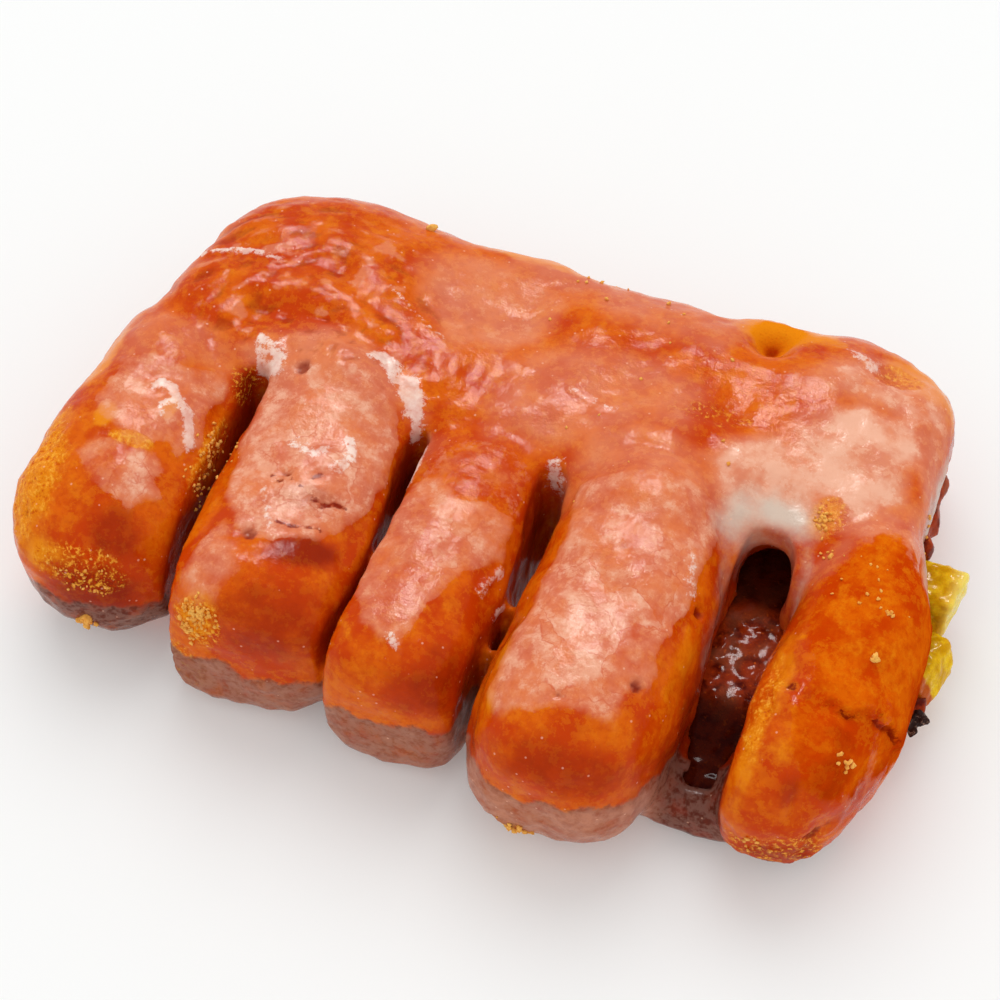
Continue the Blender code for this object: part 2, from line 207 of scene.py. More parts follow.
# Thick glaze that has set whitish grey
MILK = (
    Stroke(((42.0, -3.0, 28.0), (43.6, 0.2, 29.0), (47.0, 2.0, 29.3), (52.4, 2.0, 28.8)), 3.5),
    Stroke(((71.4, 32.0, 21.0), (72.6, 26.0, 21.5), (73.4, 19.0, 22.0)), 1.3, 0.9),
    Stroke(((73.2, 22.0, 20.5), (73.8, 15.0, 20.0), (74.6, 9.0, 21.5)), 2.1),
    Stroke(((74.4, 11.0, 22.0), (75.2, 3.0, 24.0), (75.6, -3.0, 25.0)), 1.5, 0.9),
    Stroke(((42.0, -4.0, 27.0), (43.4, -14.0, 25.0), (43.5, -26.0, 22.0)), 1.8, 0.6),
    Stroke(((53.5, 0.6, 28.5), (56.4, -5.0, 26.0), (55.8, -12.0, 23.0)), 1.6, 0.6),
)

# Crust that the glaze missed
DRY = (
    Patch((69.0, -16.0, 33.0), (9.5, 18.0, 14.0)),
    Patch((68.5, -37.0, 30.0), (8.0, 9.0, 14.0), 0.0, 0.9),
    Patch((76.0, -14.0, 22.0), (6.0, 22.0, 12.0)),
    Patch((20.5, -56.0, 6.5), (4.5, 4.0, 4.0)),
    Patch((39.0, 40.0, 28.0), (6.0, 4.0, 4.0)),
)

# Paler, golden crust
GOLDEN = (
    Patch((-73.0, -30.0, 27.0), (6.0, 14.0, 9.0)),
    Patch((-66.0, -42.0, 25.0), (6.0, 4.0, 4.0), 0.0, 0.9),
    Patch((-58.5, -21.5, 35.0), (4.5, 1.6, 2.0), 0.0, 0.9),
    Patch((-65.0, -18.5, 35.0), (2.0, 3.0, 2.0), 0.0, 0.9),
    Patch((-55.5, -12.8, 34.0), (1.2, 2.6, 2.0), 0.0, 1.0),
    Patch((-47.6, -16.0, 27.0), (1.6, 8.0, 5.0), 0.0, 0.9),
    Patch((-5.0, 46.0, 25.0), (16.0, 5.0, 5.0)),
    Patch((-64.0, 42.0, 24.0), (7.0, 5.0, 7.0), 40.0, 1.0),
    Patch((-72.0, -4.0, 30.0), (3.0, 10.0, 5.0), 0.0, 0.8),
    Patch((40.0, 41.0, 28.0), (11.0, 6.0, 5.0)),
    Patch((66.0, 38.0, 27.0), (10.0, 6.0, 6.0), -30.0, 0.8),
    Patch((56.5, 4.0, 30.5), (3.0, 5.0, 3.0), -25.0, 0.9),
    Patch((-36.5, -46.5, 28.0), (3.5, 3.5, 5.5)),
    Patch((57.0, -40.0, 28.0), (2.2, 12.0, 7.0), 0.0, 0.75),
    Patch((58.5, -30.0, 31.0), (3.2, 13.0, 6.0), 5.0, 0.6),
    Patch((61.5, -40.0, 32.0), (3.0, 9.0, 4.0), 0.0, 0.5),
    Patch((69.0, -14.0, 34.0), (9.0, 14.0, 8.0), 0.0, 0.3),
    Patch((15.0, -42.0, 30.0), (1.8, 12.0, 4.0), 0.0, 0.7),
    Patch((41.0, -32.0, 30.0), (2.8, 9.0, 5.0), -10.0, 0.5),
    Patch((-9.0, -44.0, 28.0), (5.0, 3.0, 5.0), 0.0, 0.75),
    Patch((21.0, -56.5, 6.5), (4.0, 3.5, 3.5)),
)

# Darker, redder crust, with painted shade on the fingers' fronts and in the web between the last two fingers
DEEP_AND_SHADE = (
    Patch((-23.0, -33.0, 33.5), (8.0, 3.5, 5.0), 25.0),
    Patch((-26.0, -42.0, 26.0), (12.0, 8.0, 9.0)),
    Patch((32.0, 15.5, 33.0), (11.0, 6.0, 5.0), 10.0, 0.55),
    Patch((2.0, -44.0, 26.0), (9.0, 8.0, 7.0), 0.0, 0.95),
    Patch((29.0, -54.0, 28.0), (16.0, 6.0, 7.0), 0.0, 0.72),
    Patch((70.0, -42.0, 28.0), (6.0, 7.0, 6.0), 0.0, 0.65),
    Patch((-56.0, -37.0, 29.0), (6.0, 6.0, 6.0), 0.0, 0.8),
    Patch((-58.0, -43.5, 20.0), (10.0, 5.0, 8.0)),
    Patch((68.0, -37.0, 31.0), (6.0, 3.5, 4.0), 0.0, 0.7),
    Patch((48.5, -42.0, 12.0), (8.5, 12.0, 13.0), 0.0, 1.3),
    Patch((64.0, -45.0, 27.0), (3.0, 6.0, 5.0), 0.0, 0.7),
    Patch((-26.0, -23.0, 34.5), (7.0, 3.0, 4.0), 15.0, 0.9),
    Patch((-47.0, -0.5, 28.5), (3.0, 3.6, 4.0), 0.0, 1.0),
    Patch((-37.0, 2.2, 35.0), (1.6, 1.8, 3.0)),
    Patch((40.5, 38.5, 26.0), (4.5, 3.0, 3.0), 0.0, 0.9),
    Patch((66.0, -50.0, 12.0), (12.0, 5.0, 7.0), 0.0, 0.8),
)

# Rough, granular places where the crust has torn or blistered
ROUGH = (
    Patch((32.0, 15.5, 33.0), (10.0, 5.0, 5.0), 10.0, 0.55),
    Patch((-47.0, -0.5, 28.5), (3.5, 3.5, 4.0)),
    Patch((-60.0, -43.0, 25.0), (9.0, 4.0, 5.0)),
    Patch((-72.0, -30.0, 28.0), (6.0, 13.0, 9.0), 0.0, 0.8),
    Patch((-58.5, -21.5, 35.0), (4.5, 1.5, 2.0)),
    Patch((-47.6, -16.0, 28.0), (1.6, 8.0, 4.0)),
    Patch((-36.5, -46.5, 26.0), (4.5, 3.5, 6.0)),
    Patch((-40.0, -47.0, 12.0), (4.0, 4.0, 7.0)),
    Patch((57.0, -36.0, 30.0), (3.0, 14.0, 6.0), 0.0, 0.6),
    Patch((57.0, 4.0, 31.0), (3.5, 4.5, 3.0), -25.0, 0.8),
    Patch((60.5, 37.0, 29.0), (5.0, 3.0, 4.0)),
    Patch((66.0, -50.0, 12.0), (12.0, 6.0, 9.0), 0.0, 0.8),
    Patch((20.5, -56.0, 6.5), (5.0, 4.0, 5.0)),
)

# Small burst bubbles, each a pit with darker crust and painted shade on its floor
BURSTS = (
    Patch((-37.0, 2.2, 35.0), (1.3, 1.6, 3.0)),
    Patch((-32.5, -32.7, 34.5), (1.5, 1.3, 3.0)),
    Patch((-31.7, -19.6, 34.7), (1.2, 1.0, 3.0), 0.0, 0.7),
    Patch((42.0, -21.6, 31.5), (0.9, 0.9, 3.0)),
    Patch((36.8, -40.5, 35.4), (1.1, 1.1, 3.0)),
    Patch((26.0, -46.5, 35.5), (0.8, 1.0, 3.0), 0.0, 0.7),
    Patch((38.6, 9.4, 33.5), (1.0, 0.8, 3.0), 0.0, 0.5),
    Patch((27.5, -17.0, 37.5), (0.9, 0.8, 3.0), 0.0, 0.6),
)

# Pale plates of set glaze with painted sheen, their tone differing from plate to plate, with cracks between
# them
PLATE_SIZE = 8.0
PLATES = (
    Patch((-28.0, -17.0, 34.0), (11.0, 13.0, 7.0), 0.0, 0.7),
    Patch((29.0, -30.0, 37.0), (13.0, 17.0, 8.0)),
    Patch((-57.0, -26.0, 34.0), (6.0, 6.0, 5.0), 0.0, 0.9),
    Patch((-2.0, -26.0, 33.0), (9.0, 14.0, 6.0), 0.0, 0.5),
)

# Tears that show the dark crust under the glaze
CRACKS = (
    Stroke(((-31.0, -19.6, 34.7), (-28.3, -21.3, 34.6), (-26.2, -22.1, 34.5)), 1.0, 0.9),
    Stroke(((-25.3, -22.8, 34.5), (-23.5, -23.6, 34.2), (-22.0, -22.6, 33.9), (-19.9, -21.8, 32.9)), 1.1),
    Stroke(((-27.1, -19.0, 34.6), (-25.4, -17.9, 34.5)), 1.5, 0.9),
    Stroke(((-29.5, -29.0, 34.7), (-27.1, -29.4, 34.6), (-23.7, -28.1, 34.1),
            (-21.7, -27.8, 33.5)), 1.0, 0.95),
    Stroke(((-33.5, -20.6, 34.7), (-31.6, -21.4, 34.7)), 1.1, 0.9),
    Stroke(((-24.4, -26.0, 34.5), (-22.8, -25.6, 34.3)), 0.9, 0.9),
)

# The torn edge of the skin across the last finger: how wide the tear shows, how far the step behind it
# stands up and how far back it reaches, how ragged it is, and where it runs
TEAR_WIDTH = 2.2
TORN_RISE = 1.3
TORN_REACH = 8.0
TORN_RAGGED = Layer(0.8, 2.2, 19)
SKIN_TEAR = (
    (57.0, -30.5, 33.5), (59.9, -31.4, 34.0), (64.2, -33.2, 33.4), (66.8, -32.4, 33.0), (69.6, -33.3, 32.4),
    (73.1, -31.1, 30.9), (74.6, -31.6, 29.4), (76.4, -29.6, 25.9), (78.4, -28.6, 20.5),
)

# Rounded creases: round the second finger's knuckle, at the fourth finger's root, down the last finger, and
# one along the second finger's right edge
CREASES = (
    Stroke(((-45.0, 13.0, 33.4), (-38.8, 14.2, 33.7), (-32.2, 12.7, 34.2), (-24.0, 8.4, 34.2),
            (-17.6, 3.4, 32.4), (-13.8, 0.0, 26.8)), 1.0, 0.6),
    Stroke(((22.0, 4.7, 37.0), (31.0, 4.6, 36.5), (35.4, 2.0, 35.0), (38.5, 0.2, 33.6),
            (41.4, -1.6, 32.0)), 1.0, 0.7),
    Stroke(((64.4, -32.0, 34.0), (64.9, -43.0, 31.5), (65.7, -49.0, 26.0)), 1.7, 1.15),
    Stroke(((-20.0, -17.0, 33.5), (-19.0, -24.0, 33.0)), 0.9, 0.4),
)

# Wrinkles run in arcs about the knuckle of the second finger: a larger radius makes them shorter
WRINKLES = Patch((-44.0, 22.0, 32.0), (26.0, 16.0, 12.0), -20.0)
WRINKLE_CENTRE = (-38.0, 0.0)
ARC_RADIUS = 10.0
ARC_HEIGHT_SHARE = 0.2
ARC_WANDER = Layer(1.6, 9.0, 42)
ARCS = Layer(1.0, 2.1, 41)
STREAK_BREAKS = Layer(0.6, 3.4, 43)

# Fine folds down the outer flank of the last finger
FLANK = Patch((74.0, -42.0, 14.0), (9.0, 20.0, 10.0), -15.0)
FLANK_FOLDS = Layer(0.6, 2.6, 51, (1.0, 0.3, 1.0))

# Noise that moves the borders of the glaze
WANDER = Layer(1.0, 6.0, 1)
VEIL_WANDER = 2.5
FLAKE_BORDER = (Layer(1.3, 6.0, 1), Layer(0.7, 2.6, 23))
MILK_CLOUDS = Layer(0.3, 4.5, 29)
DRIPS = (Layer(3.0, 5.5, 2, (1.0, 1.0, 0.1)), Layer(1.5, 2.5, 17, (1.0, 1.0, 0.2)))
DRIP_SOFTNESS = 2.6

# Noise in the relief of each piece, from swellings down to grains
SWELLINGS = (Layer(0.6, 13.0, 3), Layer(0.32, 7.0, 5))
BLISTERS = (Layer(0.16, 3.2, 4), Layer(0.13, 1.9, 7))
GRAINS = Layer(0.55, 2.0, 15)
BAND_UNEVENNESS = Layer(0.3, 3.0, 53, (1.0, 1.0, 0.5))
FILLING_WAVES = Layer(0.35, 2.6, 11)
FILLING_LUMPS = Layer(0.25, 1.5, 12)
FILLING_GLEAMS = Layer(1.0, 4.0, 13)
APPLE_RELIEF = (Layer(0.45, 3.2, 21), Layer(0.2, 1.3, 22))
SCRAP_RELIEF = Layer(0.25, 0.9, 31)

# How far each kind of place moves the skin out or in, in mm
FLAKE_RISE = 0.2
SUGAR_RISE = 0.35
MILK_RISE = 0.4
BAND_RISE = 0.25
WRINKLE_RISE = 0.4
CREASE_DEPTH = 0.9
CRACK_DEPTH = 0.5
PIT_DEPTH = 0.9

# How strong the painted rim reflection of the bright room is on the left side and the back, and how much
# browner the fingers' walls are, as browner crust and painted shade in the slits
RIM_REFLECTION_STRENGTH = 0.4
WALL_BROWNING_AND_SHADE = 0.75

# How finely and how unevenly the lumps are made that crumbs and the burnt scrap consist of
LUMP_CUTS = 2
CRUMB_UNEVENNESS = 0.38
CRUMB_SEED = 4
SCRAP_UNEVENNESS = 0.35
SCRAP_SEED = 9
SCRAP_LUMPS = 34
SCRAP_LUMP_SIZES = (0.7, 1.3)
SCRAP_CENTRE = (78.6, -16.0, 10.2)
SCRAP_SPREAD = (0.9, 1.3, 0.9)

# The floor's half width in metres, its own faint glow, and the strength of the even light all round
FLOOR_REACH = 1.5
FLOOR_GLOW = 0.15
ROOM_STRENGTH = 0.86


def colour(red, green, blue):
    """The linear colour of an sRGB one given as numbers up to 255."""
    def linear(value):
        share = value / 255.0
        return share / 12.92 if share <= 0.04045 else ((share + 0.055) / 1.055) ** 2.4

    return (linear(red), linear(green), linear(blue), 1.0)


GOLD = colour(230, 132, 16)
PALE_GOLD = colour(246, 172, 54)
ORANGE = colour(217, 96, 6)
RUSSET = colour(196, 60, 3)
BURNT_RED = colour(126, 22, 3)
# Hazy glaze with painted sheen, and its palest, most sheeny tone
HAZE_AND_SHEEN_PINK = colour(228, 150, 116)
PALE_GLAZE_AND_SHEEN = colour(240, 184, 156)
SUGAR_WHITE = colour(250, 232, 220)
MILK_GREY = colour(210, 196, 180)
# The low band's run-down glaze, painted with a reflection of the floor
BAND_MAUVE_AND_REFLECTION = colour(126, 88, 76)
BAND_BROWN_AND_REFLECTION = colour(92, 44, 32)
FILLING_DARK = colour(92, 18, 6)
FILLING_BROWN = colour(162, 54, 16)
FILLING_BITS = colour(206, 88, 18)
FILLING_PALE = colour(176, 96, 60)
FILLING_SHADE = colour(40, 4, 2)
APPLE_OCHRE = colour(204, 148, 6)
APPLE_YELLOW = colour(240, 196, 30)
APPLE_PALE = colour(240, 216, 110)
APPLE_BROWN = colour(182, 80, 12)
CRUMB_BROWN = colour(226, 124, 14)
CRUMB_PALE = colour(255, 208, 110)
CHAR_BLACK = colour(46, 24, 20)
CHAR_ASH = colour(150, 118, 100)
FLOOR_GREY = colour(227, 228, 227)
WHITE = colour(255, 255, 255)

# A low figure keeps the glaze clear where it is seen head on, and leaves it a pale rim
GLAZE_IOR = 1.16


def smoothstep(value, low, high):
    share = np.clip((value - low) / (high - low), 0.0, 1.0)
    return share * share * (3.0 - 2.0 * share)


def scrambled(cell, seed):
    """A well mixed whole number for each row of three whole numbers."""
    low_bits = 0xFFFFFFFF
    value = cell[:, 0] * 374761393 + cell[:, 1] * 668265263 + cell[:, 2] * 1274126177 + seed * 144665
    value &= low_bits
    value = ((value ^ (value >> 13)) * 1274126177) & low_bits
    value = ((value ^ (value >> 15)) * 1103515245) & low_bits
    return value ^ (value >> 16)


def random_vectors(cell, seed):
    """Three numbers from -1 to 1 for each row of whole numbers, the same at every run."""
    value = scrambled(cell, seed)
    parts = [(value >> shift) & 1023 for shift in (0, 10, 20)]
    return np.stack(parts, axis=1) / 511.5 - 1.0


def noise_at(places, wavelength, seed=0):
    """Smooth noise from about -1 to 1 at an array of places."""
    scaled = places / wavelength + 31.7
    cell = np.floor(scaled).astype(np.int64)
    inside = scaled - cell
    fade = inside**3 * (inside * (inside * 6 - 15) + 10)
    total = np.zeros(len(places))
    for corner in itertools.product((0, 1), repeat=3):
        slope = random_vectors(cell + corner, seed)
        weight = np.prod(np.where(corner, fade, 1 - fade), axis=1)
        total += weight * (slope * (inside - corner)).sum(axis=1)
    return total * 1.5


def layered(places, *layers):
    """The sum of some layers of noise."""
    return sum(
        layer.height * noise_at(places * layer.squeeze, layer.wavelength, layer.seed) for layer in layers
    )


def distance_to_line(places, points):
    """How far each place is from a line through the points."""
    best = np.full(len(places), 1e9)
    for start, end in zip(points, points[1:]):
        start, end = np.array(start), np.array(end)
        run = end - start
        along = np.clip((places - start) @ run / (run @ run), 0.0, 1.0)
        best = np.minimum(best, np.linalg.norm(places - start - along[:, None] * run, axis=1))
    return best


def depth_inside(places, outline):
    """How far each place is inside an outline as seen from above, or below 0 when it is outside."""
    x, y = places[:, 0], places[:, 1]
    away = np.full(len(places), 1e9)
    inside = np.zeros(len(places), bool)
    for (ax, ay), (bx, by) in zip(outline, outline[1:] + outline[:1]):
        run_x, run_y = bx - ax, by - ay
        along = np.clip(((x - ax) * run_x + (y - ay) * run_y) / (run_x**2 + run_y**2), 0.0, 1.0)
        away = np.minimum(away, np.hypot(x - ax - along * run_x, y - ay - along * run_y))
        passed = (ay > y) != (by > y)
        left_of_edge = ((x - ax) * run_y < (y - ay) * run_x) == (run_y > 0)
        inside ^= passed & left_of_edge
    return np.where(inside, away, -away)


def patch_field(places, patches):
    """1 well inside a patch, half at its border and 0 well outside."""
    field = np.zeros(len(places))
    for patch in patches:
        turn = math.radians(patch.turn)
        x, y, z = (places - np.array(patch.centre)).T
        across = (x * math.cos(turn) + y * math.sin(turn)) / patch.reach[0]
        along = (y * math.cos(turn) - x * math.sin(turn)) / patch.reach[1]
        away = np.sqrt(across**2 + along**2 + (z / patch.reach[2]) ** 2)
        field = np.maximum(field, np.clip(1.5 - away, 0.0, 1.0) * patch.strength)
    return field


def stroke_field(places, strokes):
    """1 on a stroke's line, half at its half width and 0 at twice that."""
    field = np.zeros(len(places))
    flatter = np.array((1.0, 1.0, STROKE_HEIGHT_SHARE))
    for stroke in strokes:
        away = distance_to_line(places * flatter, np.array(stroke.points) * flatter) / stroke.width
        field = np.maximum(field, np.clip(1.0 - 0.5 * away, 0.0, 1.0) * stroke.strength)
    return field


def sheet_field(places, sheets, wander):
    """Each sheet's strength well inside it, fading out across its border, which wanders."""
    field = np.zeros(len(places))
    for sheet in sheets:
        depth = depth_inside(places, sheet.outline) + wander
        field = np.maximum(field, sheet.strength * smoothstep(depth, -sheet.softness, sheet.softness))
    return field


def read_points(mesh):
    """The mesh's points in mm, and their normals."""
    places = np.zeros(len(mesh.vertices) * 3, np.float32)
    normals = np.zeros(len(mesh.vertices) * 3, np.float32)
    mesh.vertices.foreach_get("co", places)
    mesh.vertices.foreach_get("normal", normals)
    return places.reshape(-1, 3).astype(float) / MM, normals.reshape(-1, 3).astype(float)


def write_points(mesh, places):
    mesh.vertices.foreach_set("co", (places * MM).astype(np.float32).ravel())
    mesh.update()


def write_field(mesh, name, values):
    made = mesh.attributes.new(name, "FLOAT", "POINT")
    made.data.foreach_set("value", np.clip(values, 0.0, 1.0).astype(np.float32))


def apply_modifiers(thing):
    evaluated = thing.evaluated_get(bpy.context.evaluated_depsgraph_get())
    baked = bpy.data.meshes.new_from_object(evaluated)
    thing.modifiers.clear()
    thing.data = baked
    baked.name = thing.name


def object_from(mesh, name):
    """A new object in the scene with this mesh."""
    made = bpy.data.objects.new(name, mesh)
    bpy.context.scene.collection.objects.link(made)
    return made


def mesh_from(bm, name):
    """The mesh that bm holds, which is freed."""
    mesh = bpy.data.meshes.new(name)
    bm.to_mesh(mesh)
    bm.free()
    return mesh


def add_remesh(thing, voxel):
    """Gives the object small even faces, this many mm wide, when its modifiers are applied."""
    remesh = thing.modifiers.new("finer", "REMESH")
    remesh.mode = "VOXEL"
    remesh.voxel_size = voxel * MM


def fine_copy(node, name, voxel, smoothing):
    """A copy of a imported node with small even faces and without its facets."""
    made = object_from(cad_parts[node].data.copy(), name)
    add_remesh(made, voxel)
    smooth = made.modifiers.new("soften", "SMOOTH")
    smooth.factor = 0.5
    smooth.iterations = smoothing
    apply_modifiers(made)
    made.data.materials.clear()
    return made


def finish_piece(piece, material, slot, *nodes):
    """Gives the piece its material, and hangs it on the object in place of its nodes."""
    piece.data.materials.append(material)
    for polygon in piece.data.polygons:
        polygon.use_smooth = True
    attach(piece, "root")
    if nodes:
        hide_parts(*nodes)


class Shader:
    """Short calls that build one material's nodes."""

    def __init__(self, name):
        self.material = bpy.data.materials.new(name)
        self.material.use_nodes = True
        self.tree = self.material.node_tree
        self.surface = self.tree.nodes["Principled BSDF"]
        self.place = self.tree.nodes.new("ShaderNodeTexCoord").outputs["Object"]

    def feed(self, socket, value):
        if isinstance(value, bpy.types.NodeSocket):
            self.tree.links.new(value, socket)
        else:
            socket.default_value = value

    def field(self, name):
        node = self.tree.nodes.new("ShaderNodeAttribute")
        node.attribute_name = name
        return node.outputs["Fac"]

    def noise(self, size, detail=3.0, roughness=0.5, output="Fac"):
        """Noise from 0 to 1 with features about this many millimetres across."""
        node = self.tree.nodes.new("ShaderNodeTexNoise")
        node.inputs["Scale"].default_value = 1.0 / (size * MM)
        node.inputs["Detail"].default_value = detail
        node.inputs["Roughness"].default_value = roughness
        self.tree.links.new(self.place, node.inputs["Vector"])
        return node.outputs[output]

    def vectors(self, operation, first, second):
        node = self.tree.nodes.new("ShaderNodeVectorMath")
        node.operation = operation
        self.feed(node.inputs[0], first)
        self.feed(node.inputs[1], second)
        return node.outputs["Vector"]

    def warped_place(self, size, reach):
        """The place, pushed about by noise of this size by up to half the reach in millimetres."""
        push = self.vectors("SUBTRACT", self.noise(size, 3, 0.6, "Color"), (0.5, 0.5, 0.5))
        return self.vectors("ADD", self.vectors("MULTIPLY", push, (reach * MM,) * 3), self.place)

    def cells(self, size, feature="F1", output="Distance", place=None):
        """Irregular cells about this many millimetres across."""
        node = self.tree.nodes.new("ShaderNodeTexVoronoi")
        node.feature = feature
        node.inputs["Scale"].default_value = 1.0 / (size * MM)
        self.tree.links.new(place or self.place, node.inputs["Vector"])
        return node.outputs[output]

    def maths(self, operation, first, second=0.0):
        node = self.tree.nodes.new("ShaderNodeMath")
        node.operation = operation
        self.feed(node.inputs[0], first)
        self.feed(node.inputs[1], second)
        return node.outputs[0]

    def product(self, first, *others):
        for other in others:
            first = self.maths("MULTIPLY", first, other)
        return first

    def total(self, first, *others):
        for other in others:
            first = self.maths("ADD", first, other)
        return first

    def spread(self, value, low, high, to_low=0.0, to_high=1.0):
        """The value carried smoothly from one range to another, held at its ends."""
        node = self.tree.nodes.new("ShaderNodeMapRange")
        node.interpolation_type = "SMOOTHSTEP"
        for name, given in zip(("From Min", "From Max", "To Min", "To Max"), (low, high, to_low, to_high)):
            node.inputs[name].default_value = given
        self.feed(node.inputs["Value"], value)
        return node.outputs["Result"]

    def edge(self, field, noise, amount, low, high):
        """A soft field's border made irregular by noise, and sharpened between low and high."""
        wander = self.maths("MULTIPLY", self.maths("SUBTRACT", noise, 0.5), amount)
        return self.spread(self.maths("ADD", field, wander), low, high)

    def mix(self, share, first, second):
        node = self.tree.nodes.new("ShaderNodeMix")
        node.data_type = "RGBA"
        self.feed(node.inputs["Factor"], share)
        self.feed(node.inputs[6], first)
        self.feed(node.inputs[7], second)
        return node.outputs[2]

    def bump(self, height, depth, strength=1.0, below=None):
        node = self.tree.nodes.new("ShaderNodeBump")
        node.inputs["Distance"].default_value = depth * MM
        self.feed(node.inputs["Strength"], strength)
        self.feed(node.inputs["Height"], height)
        if below is not None:
            self.feed(node.inputs["Normal"], below)
        return node.outputs["Normal"]

    def set(self, **values):
        """Sets the surface's own sockets: an underscore in a name stands for a space."""
        for name, value in values.items():
            self.feed(self.surface.inputs[name.replace("_", " ")], value)


def crust_colour(m, middle, fine, speck, flecks):
    """Fried crust from gold through orange to burnt red, granular where it is rough, with painted shade in
    recesses, down the slit walls and on the fingers' fronts, and how rough it is.
    """
    broad = m.noise(9.0, 4, 0.6)
    spots = m.noise(0.9, 3, 0.7)
    crust = m.mix(m.spread(broad, 0.38, 0.6), ORANGE, RUSSET)
    crust = m.mix(m.product(m.spread(middle, 0.52, 0.7), 0.4), crust, GOLD)
    crust = m.mix(m.product(m.spread(fine, 0.46, 0.68), 0.45), crust, RUSSET)
    crust = m.mix(m.edge(m.field("golden"), middle, 1.0, 0.3, 0.8), crust, GOLD)
    # Darker, redder crust, with painted shade on the fingers' fronts and the slit walls
    crust = m.mix(m.product(m.edge(m.field("deep_and_shade"), middle, 0.9, 0.3, 0.8), 0.9), crust, RUSSET)
    crust = m.mix(m.product(m.edge(m.field("deep_and_shade"), middle, 0.6, 0.4, 1.05), 0.75), crust, BURNT_RED)
    crust = m.mix(m.product(flecks, m.spread(m.field("deep_and_shade"), 0.2, 0.8, 0.24, 0.08)), crust, GOLD)
    rough = m.edge(m.field("rough"), middle, 0.8, 0.35, 0.65)
    crust = m.mix(m.product(rough, m.spread(spots, 0.5, 0.66), 0.8), crust, PALE_GOLD)
    crust = m.mix(m.product(rough, m.spread(spots, 0.34, 0.46, 1.0, 0.0), 0.7), crust, RUSSET)
    # Painted shade in recesses darkens the crust towards burnt red
    shade = m.spread(m.total(m.field("hollow"), m.product(fine, 0.3)), 0.25, 1.1, 0.0, 0.75)
    crust = m.mix(shade, crust, BURNT_RED)
    return m.mix(m.product(m.spread(speck, 0.55, 0.75), m.field("dry"), 0.35), crust, RUSSET), rough


